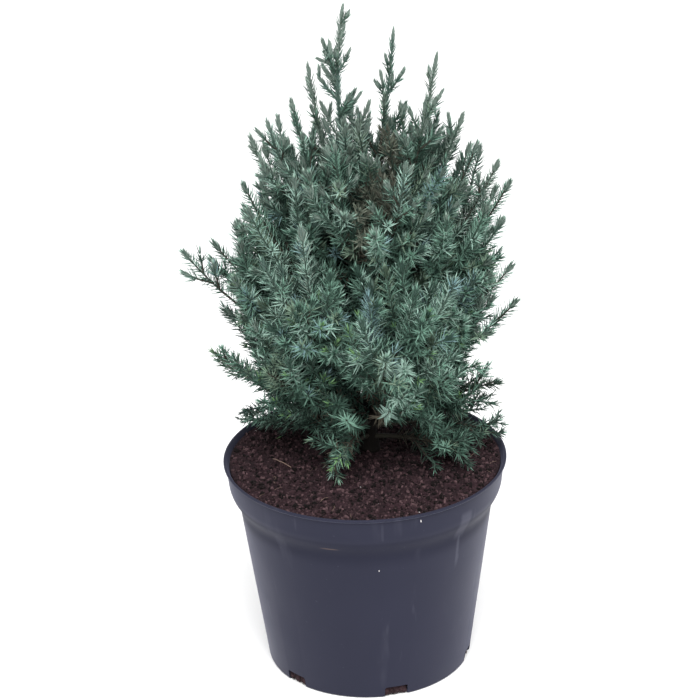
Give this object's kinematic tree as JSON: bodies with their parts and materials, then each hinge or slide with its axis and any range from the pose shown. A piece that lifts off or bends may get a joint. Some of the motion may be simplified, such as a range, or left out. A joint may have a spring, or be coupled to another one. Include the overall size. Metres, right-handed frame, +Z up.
{
  "type": "potted chinese juniper",
  "caption": "Young upright Chinese juniper with blue-green needle foliage and slim leaders, growing in a round dark plastic nursery pot filled with peat.",
  "frame": {"origin": "middle of the pot's flat underside, where it stands", "axes": "+Z up the pot's axis, -Y to the front of the shrub, +X to the right seen from the front"},
  "size_m": [0.2198, 0.1952, 0.4609],
  "materials": {
    "pot_plastic": "dark blue-grey moulded plastic, satin, faintly dusty",
    "peat": "dark red-brown crumbly peat, moist and dull",
    "bark": "thin fibrous brown bark",
    "needles": "blue-green needles with a pale waxy bloom"
  },
  "bodies": {
    "root": {"pot": "pot_plastic", "soil": "peat", "trunk": "bark", "bough_leader_right": "bark", "bough_left_upper": "bark", "bough_left_shoulder": "bark", "bough_left_side": "bark", "bough_left_wide": "bark", "bough_left_low": "bark", "bough_right_upper": "bark", "bough_right_shoulder": "bark", "bough_right_wide": "bark", "bough_right_lower": "bark", "bough_right_low": "bark", "bough_front_right_upper": "bark", "bough_front_left": "bark", "bough_front_right": "bark", "bough_front_middle": "bark", "bough_back_left_upper": "bark", "bough_back_right_upper": "bark", "bough_back_left": "bark", "bough_back_middle": "bark", "bough_back_right": "bark", "foliage_leader_main": "needles", "foliage_leader_centre": "needles", "foliage_leader_right": "needles", "foliage_leader_left": "needles", "foliage_left_top": "needles", "foliage_left_upper": "needles", "foliage_left_shoulder": "needles", "foliage_left_side": "needles", "foliage_left_wide": "needles", "foliage_left_low": "needles", "foliage_right_upper": "needles", "foliage_right_high": "needles", "foliage_right_crest": "needles", "foliage_right_shoulder": "needles", "foliage_right_wide": "needles", "foliage_right_lower": "needles", "foliage_right_low": "needles", "foliage_front_left_upper": "needles", "foliage_front_right_upper": "needles", "foliage_front_left": "needles", "foliage_front_right": "needles", "foliage_front_middle": "needles", "foliage_front_left_low": "needles", "foliage_front_right_low": "needles", "foliage_back_upper": "needles", "foliage_back_left_upper": "needles", "foliage_back_right_upper": "needles", "foliage_back_left": "needles", "foliage_back_middle": "needles", "foliage_back_right": "needles", "foliage_low_front_left": "needles", "foliage_low_front_right": "needles", "foliage_low_left": "needles", "foliage_low_right": "needles", "foliage_low_front": "needles", "foliage_low_right_front": "needles", "foliage_low_back": "needles"}
  },
  "joints": []
}
